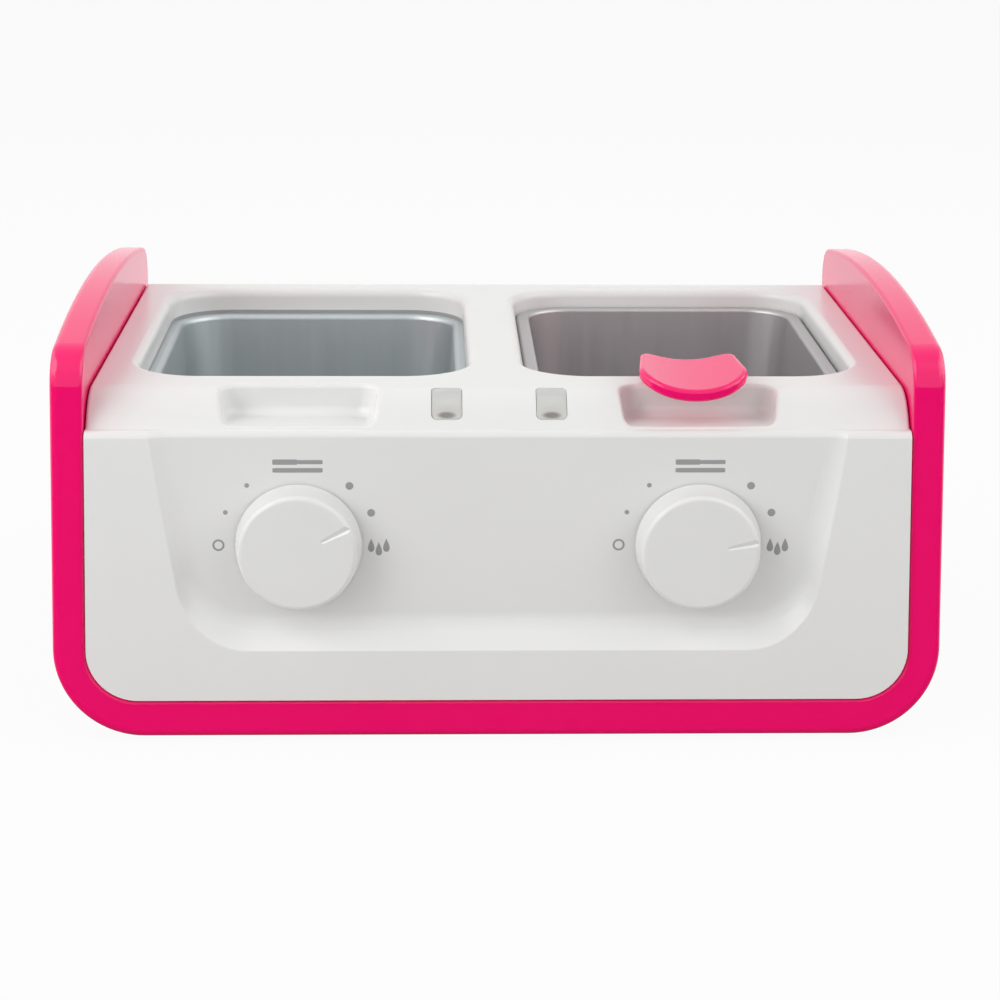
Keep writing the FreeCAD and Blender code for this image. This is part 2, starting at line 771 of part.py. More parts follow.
# Wells: drawn tubs with a flange, sealed and clipped under the cover's lip.
def tub(side, inset, bottom, top, floor_round):
    """Tapering tub with rounded corners, drawn in from the opening by an inset at the flange's top."""
    taper = math.tan(math.radians(well_draft))
    wires = []
    for z in (bottom, top):
        draw = inset + (flange_top - z) * taper
        half_x = opening_half_x - draw
        corners = rectangle(side * well_x, well_y, half_x, opening_half_y - draw)
        wires.append(rounded([Vector(x, y, z) for x, y in corners], [opening_corner - inset] * 4))
    solid = Part.makeLoft(wires, True, True)
    return solid.makeFillet(floor_round, edges_where(solid, lambda p: abs(p.z - bottom) < pick_gap))


def make_well(side):
    level = flange_top - flange_wall / 2
    outer = tub(side, ledge - well_wall, well_bottom, level, well_floor_round + well_wall)
    flange = opening_prism(side, lip_wall, flange_bottom, flange_top)
    inner = tub(side, ledge, well_bottom + well_wall, flange_top + overrun, well_floor_round)
    body = outer.fuse(flange).cut(inner).removeSplitter()
    mouth = edges_on(body, inner, flange)
    return body.makeFillet(well_mouth_round, mouth)


def make_seal(side):
    ring = opening_prism(side, lip_wall, flange_top, lip_bottom)
    return ring.cut(opening_prism(side, 0, 0, cover_top))


def make_clips(side):
    clips = []
    for x, y, way in clip_places(side):
        outer = y - way * (boss_radius + boss_gap)
        inner = y + way * (boss_radius + boss_gap + clip_overlap)
        near = min(outer, inner)
        far = max(outer, inner)
        plate = block(x - clip_half, x + clip_half, near, far, flange_bottom - clip_wall, flange_bottom)
        clips.append(plate.cut(rod(screw_radius + hole_clearance, Vector(x, y, 0), Vector(x, y, cover_top))))
    return Part.makeCompound(clips)


def make_clip_screws():
    seat = flange_bottom - clip_wall
    places = clip_places(-1) + clip_places(1)
    return Part.makeCompound([pan_head_screw(Vector(x, y, seat), UP, short_screw) for x, y, way in places])


# Heaters: a mica plate and a clamp plate on a stud under each well, with a thermal fuse below.
def plate_half(margin):
    """Half sizes of a plate that stays a margin inside the well's floor."""
    taper = (flange_top - well_bottom) * math.tan(math.radians(well_draft))
    draw = ledge + taper + margin
    return opening_half_x - draw, opening_half_y - draw


def make_heater(side):
    half_x, half_y = plate_half(heater_margin)
    bottom = well_bottom - heater_wall
    x = side * well_x
    body = pad(x, well_y, half_x, half_y, plate_corner, bottom, well_bottom)
    near = well_y - half_y - tab_length
    level = bottom + heater_wall / 2
    for offset in (x - tab_offset, x + tab_offset):
        far = near + 2 * tab_length
        blade = block(offset - tab_half, offset + tab_half, near, far, level, level + tab_wall)
        body = body.fuse(blade)
    hole = rod(stud_radius + hole_clearance, Vector(x, well_y, 0), Vector(x, well_y, cover_top))
    return body.cut(hole).removeSplitter()


def make_clamp(side):
    half_x, half_y = plate_half(heater_margin + clamp_margin)
    x = side * well_x
    body = pad(x, well_y, half_x, half_y, plate_corner, stack_bottom, stack_bottom + clamp_wall)
    return body.cut(rod(stud_radius + hole_clearance, Vector(x, well_y, 0), Vector(x, well_y, cover_top)))


def make_studs():
    tops = [Vector(x, well_y, well_bottom) for x in (-well_x, well_x)]
    return Part.makeCompound([rod(stud_radius, top - UP * stud_length, top) for top in tops])


def make_nuts():
    nuts = []
    for x in (-well_x, well_x):
        centre = Vector(x, well_y, stack_bottom - nut_height)
        turns = [math.radians(60 * k) for k in range(6)]
        corners = [centre + Vector(math.cos(a), math.sin(a), 0) * nut_radius for a in turns]
        nut = Part.Face(rounded(corners, [0] * 6)).extrude(UP * nut_height)
        nuts.append(nut.cut(rod(stud_radius + thread_clearance, centre, centre + UP * nut_height)))
    return Part.makeCompound(nuts)


def make_fuse(side):
    x = side * well_x
    y = well_y + fuse_offset
    level = stack_bottom - fuse_radius
    bar = rod(fuse_radius, Vector(x - fuse_half, y, level), Vector(x + fuse_half, y, level))
    half = fuse_half / 2
    saddle = block(x - half, x + half, y - fuse_radius, y + fuse_radius, level, stack_bottom)
    return bar.fuse(saddle).removeSplitter()


def make_shield():
    middle = (shield_front + shield_rear) / 2
    half_y = (shield_rear - shield_front) / 2
    body = pad(0, middle, shield_half, half_y, plate_corner, shield_bottom, shield_top)
    for x, y in middle_posts:
        body = body.cut(rod(post_radius + post_clearance, Vector(x, y, 0), Vector(x, y, cover_top)))
    for x, y in pillar_places():
        body = body.cut(rod(screw_radius + hole_clearance, Vector(x, y, 0), Vector(x, y, cover_top)))
    return body


def make_shield_screws():
    places = pillar_places()
    return Part.makeCompound([pan_head_screw(Vector(x, y, shield_top), -UP, short_screw) for x, y in places])


# Dials: knob and spindle turn in the thermostat, which hangs on a strap behind the panel.
def flat_bar(side, radius, flat, start, end):
    """Round bar along Y with a flat on its upper side."""
    axis = Vector(side * well_x, start, dial_height)
    bar = rod(radius, axis, axis + BACK * (end - start))
    level = dial_height + flat
    return bar.cut(block(axis.x - radius, axis.x + radius, start, end, level, dial_height + radius))


def make_spindle(side):
    tip = knob_front + knob_wall
    end = strap_back + spindle_depth
    driven = flat_bar(side, spindle_radius, spindle_radius - spindle_flat, tip, knob_back)
    axis = Vector(side * well_x, knob_back, dial_height)
    return driven.fuse(rod(spindle_radius, axis, axis + BACK * (end - knob_back))).removeSplitter()


def pointer_notch():
    """Groove along X that widens and deepens from its tip to the rim, steep on its lower side."""
    ahead = knob_front - overrun
    wires = []
    for x, share in ((pointer_share * knob_face_radius, pointer_tip_share), (knob_radius, 1)):
        low = -share * pointer_step
        high = share * pointer_width
        points = [(ahead, low), (knob_front, low), (knob_front + share * pointer_depth, 0)]
        points += [(knob_front, high), (ahead, high)]
        wires.append(rounded([Vector(x, y, z) for y, z in points], [0] * 5))
    return Part.makeLoft(wires, True, True)


def make_knob(side):
    wall = knob_wall
    outer = [(0, knob_front), (knob_face_radius, knob_front), (knob_radius, knob_back), (0, knob_back)]
    inner = [(hub_radius, knob_front + wall), (knob_face_radius - wall, knob_front + wall)]
    inner += [(knob_radius - wall, knob_back + overrun), (hub_radius, knob_back + overrun)]
    solids = []
    for points, bends in ((outer, [0, knob_round, 0, 0]), (inner, [0] * 4)):
        wire = rounded([Vector(r, y, 0) for r, y in points], bends)
        solids.append(Part.Face(wire).revolve(Vector(0, 0, 0), BACK, 360))
    body = solids[0].cut(solids[1])
    notch = pointer_notch()
    notch.rotate(Vector(0, 0, 0), -BACK, pointer_left if side < 0 else pointer_right)
    body = body.cut(notch)
    body.translate(Vector(side * well_x, 0, dial_height))
    tip = knob_front + knob_wall
    radius = spindle_radius + bore_clearance
    bore = flat_bar(side, radius, spindle_radius - spindle_flat + bore_clearance, tip, knob_back)
    return body.cut(bore).removeSplitter()


def make_strap(side):
    x = side * well_x
    low = dial_height - strap_height_half
    high = dial_height + strap_height_half
    body = block(x - strap_half, x + strap_half, strap_front, strap_back, low, high)
    holes = [(0, spindle_radius + shaft_clearance)]
    holes += [(offset, screw_radius + hole_clearance) for offset in (-strap_screw_offset, strap_screw_offset)]
    for offset, radius in holes:
        start = Vector(x + offset, 0, dial_height)
        body = body.cut(rod(radius, start, start + BACK * body_depth))
    return body


def make_strap_screws():
    screws = []
    for x in (-well_x, well_x):
        for offset in (-strap_screw_offset, strap_screw_offset):
            screws.append(pan_head_screw(Vector(x + offset, strap_back, dial_height), -BACK, short_screw))
    return Part.makeCompound(screws)


def make_thermostat(side):
    x = side * well_x
    low = dial_height - thermostat_height_half
    high = dial_height + thermostat_height_half
    back = strap_back + thermostat_depth
    body = block(x - thermostat_half, x + thermostat_half, strap_back, back, low, high)
    y = strap_back + thermostat_depth / 2
    for offset in (x - tab_offset, x + tab_offset):
        body = body.fuse(block(offset - tab_half, offset + tab_half, y, y + tab_wall, low - tab_length, low))
    axis = Vector(x, strap_back, dial_height)
    bore = rod(spindle_radius + running_clearance, axis, axis + BACK * (spindle_depth + stop_gap))
    return body.cut(bore).removeSplitter()


# Pan: a lift-out tub whose rolled rim rests on the right well's flange, with a dished tab for a handle.
def make_pan():
    inset = ledge + pan_gap
    outer = tub(1, inset, pan_bottom, rim_top - rim_height / 2, pan_floor_round + pan_wall)
    rim = opening_prism(1, -rim_gap, flange_top, rim_top)
    rim = rim.makeFillet(rim_round, edges_where(rim, lambda p: abs(p.z - rim_top) < pick_gap))
    inner = tub(1, inset + pan_wall, pan_bottom + pan_wall, rim_top + overrun, pan_floor_round)
    body = outer.fuse(rim).cut(inner).removeSplitter()
    body = body.makeFillet(rim_round, edges_on(body, inner, rim))
    for x, y in rivet_places():
        body = body.cut(rod(rivet_radius + bore_clearance, Vector(x, y, 0), Vector(x, y, cover_top)))
    return body


def rim_middle():
    """Y of the middle of the pan's front rim."""
    inner = front_margin + ledge + pan_gap + pan_wall
    return (front_margin + rim_gap + inner) / 2


def rivet_places():
    """Where the handle is riveted to the pan's rim, as (x, y) pairs."""
    return [(handle_x - rivet_offset, rim_middle()), (handle_x + rivet_offset, rim_middle())]


def tab_top(y):
    """Height of the tab's upper side along its middle."""
    return cover_top + tab_rise + (y - scoop_back) * math.tan(math.radians(tab_tilt))


def tab_plate():
    """Dished, tilted tab with a bowed front, cut away below where it passes over the ridge."""
    back = rim_middle() + neck_wall / 2
    front = back - tab_depth
    reach = tab_front_half + overrun
    rise = tab_dish - math.sqrt(tab_dish * tab_dish - reach * reach)
    lower = [Vector(-reach, 0, rise), Vector(0, 0, 0), Vector(reach, 0, rise)]
    upper = [point + UP * tab_thick for point in lower]
    edges = [Part.Arc(*lower).toShape(), Part.makeLine(lower[2], upper[2])]
    edges += [Part.Arc(*reversed(upper)).toShape(), Part.makeLine(upper[0], lower[0])]
    slab = Part.Face(Part.Wire(edges)).extrude(BACK * (2 * body_depth))
    slab.translate(-BACK * body_depth)
    slab.rotate(Vector(0, 0, 0), RIGHT, tab_tilt)
    slab.translate(Vector(handle_x, scoop_back, tab_top(scoop_back) - tab_thick))
    points = [(-tab_back_half, back), (-tab_front_half, front + tab_bow), (0, front)]
    points += [(tab_front_half, front + tab_bow), (tab_back_half, back)]
    points = [(handle_x + x, y) for x, y in points]
    bends = [tab_back_corner, tab_corner, tab_dish, tab_corner, tab_back_corner]
    plan = upright(points, bends, seam_height, cover_top + body_depth)
    tab = slab.common(plan)
    tab = tab.makeFillet(tab_round, edges_on(tab, slab, plan))
    near = scoop_back - tab_clearance
    level = cover_top + tab_clearance
    return tab.cut(block(handle_x - reach, handle_x + reach, near, back, seam_height, level))


def make_pan_handle():
    y = rim_middle()
    near = y - neck_wall / 2
    far = y + neck_wall / 2
    top = tab_top(near) - tab_thick / 2
    neck = block(handle_x - neck_half, handle_x + neck_half, near, far - tab_round, rim_top, top)
    foot = block(handle_x - foot_pad_half, handle_x + foot_pad_half, near, far, rim_top, pad_top)
    body = tab_plate().fuse(neck).fuse(foot)
    for x, y in rivet_places():
        body = body.cut(rod(rivet_radius + bore_clearance, Vector(x, y, 0), Vector(x, y, pad_top)))
    return body.removeSplitter()


def make_rivets():
    rivets = []
    for x, y in rivet_places():
        shank = rod(rivet_radius, Vector(x, y, flange_top + fit_gap), Vector(x, y, pad_top))
        head = rod(rivet_head_radius, Vector(x, y, pad_top), Vector(x, y, pad_top + rivet_head))
        rivets.append(shank.fuse(head).removeSplitter())
    return Part.makeCompound(rivets)


# Mains side: the terminal block behind the gland, and the wires on the cradle's floor.
def make_terminal_block():
    front = body_depth - block_setback
    top = floor_top + block_height
    body = block(gland_x - block_half, gland_x + block_half, front, front + block_depth, floor_top, top)
    return body.makeFillet(fit_gap, edges_where(body, lambda p: p.z > floor_top + pick_gap))


def wire(points):
    """Insulated wire through points, with every corner bent to one radius."""
    edges = []
    start = points[0]
    for before, corner, after in zip(points, points[1:], points[2:]):
        back = (before - corner).normalize()
        ahead = (after - corner).normalize()
        middle = corner + (back + ahead).normalize() * (wire_bend * (math.sqrt(2) - 1))
        edges.append(Part.makeLine(start, corner + back * wire_bend))
        edges.append(Part.Arc(corner + back * wire_bend, middle, corner + ahead * wire_bend).toShape())
        start = corner + ahead * wire_bend
    edges.append(Part.makeLine(start, points[-1]))
    section = Part.Wire(Part.makeCircle(wire_radius, points[0], points[1] - points[0]))
    return Part.Wire(edges).makePipeShell([section], True, True)


def thermostat_tab(side, offset):
    """Lower end of a thermostat's terminal."""
    y = strap_back + thermostat_depth / 2 + tab_wall / 2
    return Vector(side * well_x + offset, y, dial_height - thermostat_height_half - tab_length)


def heater_tab(side, offset):
    """Front end of a heater's terminal."""
    half_x, half_y = plate_half(heater_margin)
    level = well_bottom - heater_wall / 2 + tab_wall / 2
    return Vector(side * well_x + offset, well_y - half_y - tab_length, level)


def make_load_wire(side):
    start = thermostat_tab(side, tab_offset)
    end = heater_tab(side, tab_offset)
    low = start.z - 2 * wire_bend - wire_step
    turn = end.y - 2 * wire_bend - wire_step
    points = [start, Vector(start.x, start.y, low), Vector(end.x, turn, low)]
    return wire(points + [Vector(end.x, turn, end.z), end])


def lane_x(lane):
    """X of the wires that run side by side into the terminal block, numbered from the left."""
    return well_x - tab_offset + 2 * wire_bend + (1 + lane) * wire_step / 2


def make_live_wire(side):
    start = thermostat_tab(side, -tab_offset)
    level = floor_top + wire_rise
    x = lane_x(2 if side > 0 else 0)
    turn = shield_front - 2 * wire_bend - (wire_step if side > 0 else 0)
    points = [start, Vector(start.x, start.y, level), Vector(start.x, turn, level)]
    return wire(points + [Vector(x, turn, level), Vector(x, body_depth - block_setback, level)])


def make_neutral_wire(side):
    start = heater_tab(side, -tab_offset)
    level = floor_top + wire_rise + wire_step
    x = lane_x(6 if side > 0 else 4)
    near = start.y - wire_bend - fit_gap
    turn = well_y + (0 if side > 0 else wire_step)
    points = [start, Vector(start.x, near, start.z), Vector(start.x, near, level)]
    points += [Vector(start.x, turn, level), Vector(x, turn, level)]
    return wire(points + [Vector(x, body_depth - block_setback, level)])


if __name__ == "__main__":
    os.makedirs("parts", exist_ok=True)
    pieces = {
        "cradle": make_cradle(),
        "feet": make_feet(),
        "base_screws": make_base_screws(),
        "front_panel": make_front_panel(),
        "rear_panel": make_rear_panel(),
        "cord_gland": make_cord_gland(),
        "top_cover": make_top_cover(),
        "clip_screws": make_clip_screws(),
        "well_studs": make_studs(),
        "stud_nuts": make_nuts(),
        "heat_shield": make_shield(),
        "shield_screws": make_shield_screws(),
        "strap_screws": make_strap_screws(),
        "pan": make_pan(),
        "pan_handle": make_pan_handle(),
        "handle_rivets": make_rivets(),
        "terminal_block": make_terminal_block(),
    }
    for name, side in sides:
        pieces["lens_" + name] = make_lens(side)
        pieces["lamp_" + name] = make_lamp(side)
        pieces["lamp_holder_" + name] = make_lamp_holder(side)
        pieces["well_" + name] = make_well(side)
        pieces["seal_" + name] = make_seal(side)
        pieces["well_clips_" + name] = make_clips(side)
        pieces["heater_" + name] = make_heater(side)
        pieces["clamp_" + name] = make_clamp(side)
        pieces["fuse_" + name] = make_fuse(side)
        pieces["spindle_" + name] = make_spindle(side)
        pieces["knob_" + name] = make_knob(side)
        pieces["strap_" + name] = make_strap(side)
        pieces["thermostat_" + name] = make_thermostat(side)
        pieces["load_wire_" + name] = make_load_wire(side)
        pieces["live_wire_" + name] = make_live_wire(side)
        pieces["neutral_wire_" + name] = make_neutral_wire(side)
    for name, shape in pieces.items():
        shape.translate(Vector(0, -middle_y, 0))
        shape.exportStep("parts/" + name + ".step")
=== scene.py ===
import json
import math

import bmesh
import bpy
import numpy as np
from mathutils import Matrix, Vector


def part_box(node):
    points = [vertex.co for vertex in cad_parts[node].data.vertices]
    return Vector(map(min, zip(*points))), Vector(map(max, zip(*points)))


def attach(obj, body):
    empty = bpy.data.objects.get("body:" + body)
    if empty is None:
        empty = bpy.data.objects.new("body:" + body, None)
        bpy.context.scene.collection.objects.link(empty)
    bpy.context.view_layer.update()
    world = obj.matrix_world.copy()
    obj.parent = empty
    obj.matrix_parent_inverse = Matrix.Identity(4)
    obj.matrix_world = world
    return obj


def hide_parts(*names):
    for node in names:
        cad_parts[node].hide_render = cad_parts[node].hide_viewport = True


# Frame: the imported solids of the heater, in metres, standing on the floor with the dials towards -Y.
# Every piece below takes its place from their boxes, joints and mounts.
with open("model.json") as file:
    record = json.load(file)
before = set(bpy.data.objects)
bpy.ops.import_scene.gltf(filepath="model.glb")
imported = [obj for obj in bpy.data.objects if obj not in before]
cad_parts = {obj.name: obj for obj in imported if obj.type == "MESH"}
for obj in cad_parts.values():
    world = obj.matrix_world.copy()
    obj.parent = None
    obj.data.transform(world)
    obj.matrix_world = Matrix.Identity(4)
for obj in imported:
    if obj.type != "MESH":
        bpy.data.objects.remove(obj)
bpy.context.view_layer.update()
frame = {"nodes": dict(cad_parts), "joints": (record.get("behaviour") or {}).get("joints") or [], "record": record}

# Cradle: one pink moulding that wraps the floor, front and sides and rises into two arched handles.
# It is polished ABS, straight from a mirror-finished mould, with a faint flow mottle in its colour.
mm = 0.001
nodes = frame["nodes"]
plastic_index = 1.5
pink = (0.92, 0.001, 0.15)


class Shade:
    """A shader socket. Sums, differences and products of shades and numbers add Math nodes to its tree."""

    def __init__(self, tree, socket=None):
        self.tree = tree
        self.socket = socket

    def node(self, kind, settings, sockets, output=0):
        """New node of a kind, with its settings first and then a value or a link for each socket."""
        made = self.tree.nodes.new("ShaderNode" + kind)
        for name, value in settings.items():
            setattr(made, name, value)
        for name, value in sockets.items():
            if isinstance(value, Shade):
                self.tree.links.new(value.socket, made.inputs[name])
            else:
                made.inputs[name].default_value = value
        return Shade(self.tree, made.outputs[output]) if made.outputs else None

    def maths(self, operation, *values):
        """Math node of an operation on shades and numbers."""
        return self.node("Math", {"operation": operation}, dict(enumerate(values)))

    def __add__(self, other):
        return self.maths("ADD", self, other)

    def __sub__(self, other):
        return self.maths("SUBTRACT", self, other)

    def __rsub__(self, other):
        return self.maths("SUBTRACT", other, self)

    def __mul__(self, other):
        return self.maths("MULTIPLY", self, other)

    __radd__ = __add__
    __rmul__ = __mul__

    def place(self, scale=(1.0, 1.0, 1.0)):
        """Object coordinates, stretched by a scale along each axis."""
        spot = self.node("TexCoord", {}, {}, "Object")
        return self.node("Mapping", {}, {"Vector": spot, "Scale": scale})

    def along(self, axis):
        """Object coordinate along X, Y or Z."""
        return self.node("SeparateXYZ", {}, {"Vector": self.place()}, axis)

    def noise(self, grain, scale=(1.0, 1.0, 1.0), detail=2.0):
        """Smooth noise about one half, with grains of the given size in metres."""
        sockets = {"Vector": self.place(scale), "Scale": 1.0 / grain, "Detail": detail}
        return self.node("TexNoise", {}, sockets, "Fac")

    def blend(self, share, low, high):
        """Colour between two colours, by a share."""
        return self.node("Mix", {"data_type": "RGBA"}, {0: share, 6: low, 7: high}, 2)

    def ramp(self, value, start, end, low, high):
        """Smooth step from low to high, while a value goes from start to end."""
        return self.node("MapRange", {"interpolation_type": "SMOOTHSTEP"}, {
            "Value": value, "From Min": start, "From Max": end, "To Min": low, "To Max": high})

    def bump(self, height, depth):
        """Normal of a relief whose height runs from 0 to 1 over a depth in metres."""
        return self.node("Bump", {}, {"Height": height, "Distance": depth, "Strength": 1.0})


def start_finish(name):
    """New material with an empty tree, and a shade to add its nodes with."""
    made = bpy.data.materials.new(name)
    made.use_nodes = True
    made.node_tree.nodes.clear()
    return made, Shade(made.node_tree)


def end_finish(made, surface):
    """Puts a surface on the material's output."""
    surface.node("OutputMaterial", {}, {"Surface": surface})
    return made


def tint(colour, factor=1.0):
    """A colour made lighter or darker by a factor, with full alpha."""
    return tuple(min(1.0, channel * factor) for channel in colour) + (1.0,)


def gloss_moulding(name, colour, roughness, peel):
    """Polished moulded plastic: colour mottled over 60 mm, gloss that drifts over 25 mm, and a soft mould
    peel 3 mm wide."""
    made, shade = start_finish(name)
    mottle = shade.noise(60 * mm)
    wipe = shade.noise(25 * mm, (1.0, 1.0, 2.0))
    surface = shade.node("BsdfPrincipled", {}, {
        "Base Color": shade.blend(mottle, tint(colour, 0.98), tint(colour, 1.02)),
        "Roughness": roughness * (0.88 + wipe * 0.24),
        "Normal": shade.bump(shade.noise(3 * mm, detail=0.0), peel),
        "IOR": plastic_index,
    })
    return end_finish(made, surface)


def dress(material, *names):
    """Gives CAD nodes a finish."""
    for name in names:
        for slot in nodes[name].material_slots:
            slot.material = material


pink_gloss = gloss_moulding("pink_gloss", pink, 0.16, 0.002 * mm)
dress(pink_gloss, "cradle")

# Feet: four soft rubber buttons pressed into holes in the cradle's floor by a plug. Their soles are
# moulded with a ring that grips the table and a hollow in its middle.
weld_distance = 1e-7
sharp_angle = math.radians(40)


def shells(name, points, finish, body, ring=False):
    """Mesh of grids of points, shaped (copies, rows, columns, 3). Each grid closes round its columns, and
    round its rows too where it is a ring. Points that meet at a pole are merged, and faces turn outwards."""
    copies, rows, columns = points.shape[:3]
    index = np.arange(copies * rows * columns).reshape(copies, rows, columns)
    if ring:
        index = np.concatenate([index, index[:, :1]], axis=1)
    here, ahead = index[:, :-1], index[:, 1:]
    faces = np.stack([here, np.roll(here, -1, 2), np.roll(ahead, -1, 2), ahead], axis=-1)
    mesh = bpy.data.meshes.new(name)
    mesh.from_pydata(points.reshape(-1, 3).tolist(), [], faces.reshape(-1, 4).tolist())
    work = bmesh.new()
    work.from_mesh(mesh)
    bmesh.ops.remove_doubles(work, verts=work.verts, dist=weld_distance)
    bmesh.ops.recalc_face_normals(work, faces=work.faces)
    work.to_mesh(mesh)
    work.free()
    mesh.shade_smooth()
    mesh.set_sharp_from_angle(angle=sharp_angle)
    mesh.materials.append(finish)
    piece = bpy.data.objects.new(name, mesh)
    bpy.context.scene.collection.objects.link(piece)
    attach(piece, body)
    return piece


def softened(corners, bends, steps=6):
    """Profile through corners, each bent by a parabola that starts and ends a bend's length from the corner:
    (1-t)^2 start + 2t(1-t) corner + t^2 end. The first and last corners stay."""
    corners = np.array(corners, float)
    bends = np.array(bends, float)[:, None]
    back = corners[:-2] - corners[1:-1]
    ahead = corners[2:] - corners[1:-1]
    start = corners[1:-1] + bends * back / np.linalg.norm(back, axis=1, keepdims=True)
    end = corners[1:-1] + bends * ahead / np.linalg.norm(ahead, axis=1, keepdims=True)
    t = np.linspace(0.0, 1.0, steps)[None, :, None]
    curve = (1 - t) ** 2 * start[:, None] + 2 * t * (1 - t) * corners[1:-1, None] + t ** 2 * end[:, None]
    return np.concatenate([corners[:1], curve.reshape(-1, 2), corners[-1:]])


def turned_about(axis_point, axis, profile, columns=72):
    """Grid of a profile turned about an axis:
    point + along * axis + radius * (cos a * side + sin a * other)."""
    axis = Vector(axis).normalized()
    side = axis.orthogonal().normalized()
    other = axis.cross(side)
    angle = np.linspace(0.0, 2 * np.pi, columns, endpoint=False)[None, :, None]
    radius = profile[:, 0][:, None, None]
    along = profile[:, 1][:, None, None]
    spoke = np.cos(angle) * np.array(side) + np.sin(angle) * np.array(other)
    return np.array(axis_point) + along * np.array(axis) + radius * spoke


def mottled(name, low, high, roughness, grain, detail=2.0, scale=(1.0, 1.0, 1.0), relief=0.0,
            relief_grain=0.0, coat=0.0):
    """Finish between two colours and two roughnesses by one noise. A relief follows that noise, or a noise
    with a grain of its own."""
    made, shade = start_finish(name)
    share = shade.noise(grain, scale, detail)
    sockets = {
        "Base Color": shade.blend(share, tint(low), tint(high)),
        "Roughness": roughness[0] + share * (roughness[1] - roughness[0]),
        "Coat Weight": coat,
    }
    if relief:
        sockets["Normal"] = shade.bump(shade.noise(relief_grain) if relief_grain else share, relief)
    return end_finish(made, shade.node("BsdfPrincipled", {}, sockets))


dark_rubber = mottled("dark_rubber", (0.022, 0.022, 0.023), (0.045, 0.045, 0.046), (0.55, 0.8), 6 * mm, 3.0,
                      relief=0.01 * mm, relief_grain=0.4 * mm)
foot_radius = 8 * mm
plug_radius = 3 * mm
sole_hollow = 0.7 * mm
hollow_share = 0.5
ring_share = 0.6
foot_bends = np.array([0.5, 0.5, 0.7, 0.3, 0.1, 0.6]) * mm
foot_low, foot_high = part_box("feet")
foot_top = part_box("cradle")[0].z
foot_profile = softened(
    [(0, sole_hollow), (hollow_share * foot_radius, sole_hollow), (ring_share * foot_radius, 0),
     (foot_radius, 0), (foot_radius, foot_top), (plug_radius, foot_top), (plug_radius, foot_high.z),
     (0, foot_high.z)], foot_bends)
foot_places = [(x, y, 0.0) for x in (foot_low.x + foot_radius, foot_high.x - foot_radius)
               for y in (foot_low.y + foot_radius, foot_high.y - foot_radius)]
foot_grids = np.stack([turned_about(place, (0, 0, 1), foot_profile) for place in foot_places])
feet = shells("rubber_feet", foot_grids, dark_rubber, "housing")
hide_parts("feet")

# Panels: white ABS mouldings at front and rear, caught by a tongue behind the cradle's edge. They come from
# polished moulds too, a little softer in their gloss.
white = (0.80, 0.80, 0.785)
white_gloss = gloss_moulding("white_gloss", white, 0.24, 0.003 * mm)
dress(white_gloss, "front_panel", "rear_panel")

# Cord gland: a grooved rubber bush buttoned into the rear panel, with a bore for the mains cord.
# It is pressed in from inside, and its lips are rounded off.
mounts = {mount["name"]: mount for mount in frame["record"]["mounts"]}
gland = mounts["cord_bore"]
gland_half = gland["dims"]["length_mm"] * mm / 2
bore_radius = gland["dims"]["r_mm"] * mm
lip_radius = 7.5 * mm
neck_radius = 5.4 * mm
lip_wall = 2 * mm
gland_bends = np.array([0.8, 1.4, 0.2, 0.1, 0.1, 0.2, 0.8]) * mm
gland_profile = softened(
    [(bore_radius, -gland_half), (bore_radius, gland_half), (lip_radius, gland_half),
     (lip_radius, gland_half - lip_wall), (neck_radius, gland_half - lip_wall),
     (neck_radius, lip_wall - gland_half), (lip_radius, lip_wall - gland_half),
     (lip_radius, -gland_half), (bore_radius, -gland_half)], gland_bends)
bush = shells("gland_bush", turned_about(gland["pos_m"], gland["axis"], gland_profile)[None], dark_rubber,
              "housing", ring=True)
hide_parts("cord_gland")

# Dial marks: grey pad-printed signs round each dial, from a ring for off, past dots and two bars, to three
# drops for melted wax. The ink lies on the recess floor.
grey_ink = mottled("grey_ink", (0.30, 0.30, 0.305), (0.36, 0.36, 0.365), (0.4, 0.6), 0.5 * mm, 3.0)
ink = 0.03 * mm
mark_radius = 25.25 * mm
pad_rows = 9
pad_columns = 48
round_angle = np.linspace(0.0, 2 * np.pi, pad_columns, endpoint=False)


def pillow(outline):
    """Thin closed pad of ink over an outline: outline * sin(pi t)^0.3 across, ink * cos(pi t) thick."""
    t = np.linspace(0.0, 1.0, pad_rows)[:, None]
    spread = np.sin(np.pi * t) ** 0.3
    lift = ink * np.cos(np.pi * t) * np.ones_like(round_angle)
    return np.stack([spread * outline[0], -lift, spread * outline[1]], axis=-1)


def dot(radius):
    """Circle: radius * cos a across, radius * sin a up."""
    return radius * np.cos(round_angle), radius * np.sin(round_angle)


def bar(length, height):
    """Nearly square-cornered bar: half sizes times the sixth root of cosine and sine, with their signs."""
    corner = 1 / 6
    across, up = np.cos(round_angle), np.sin(round_angle)
    return (length / 2 * np.sign(across) * np.abs(across) ** corner,
            height / 2 * np.sign(up) * np.abs(up) ** corner)


def drop(width, height):
    """Teardrop with its point on top: 0.77 * width * sin a * sin(a/2)^1.5 across, height / 2 * cos a up."""
    return (0.77 * width * np.sin(round_angle) * np.sin(round_angle / 2) ** 1.5,
            height / 2 * np.cos(round_angle))


def hoop(radius, stroke):
    """Flat ring of ink: circle radius + stroke / 2 * cos b outwards, ink * sin b in thickness."""
    b = np.linspace(0.0, 2 * np.pi, pad_rows)[:, None]
    out = radius + stroke / 2 * np.cos(b)
    lift = ink * np.sin(b) * np.ones_like(round_angle)
    return np.stack([out * np.cos(round_angle), -lift, out * np.sin(round_angle)], axis=-1)


def on_dial(degrees, grid, shift=(0.0, 0.0)):
    """Moves a mark to its place round the dial, an angle up from the right, and then by a shift."""
    turn = math.radians(degrees)
    across = mark_radius * math.cos(turn) + shift[0]
    rise = mark_radius * math.sin(turn) + shift[1]
    return grid + np.array([across, 0.0, rise])


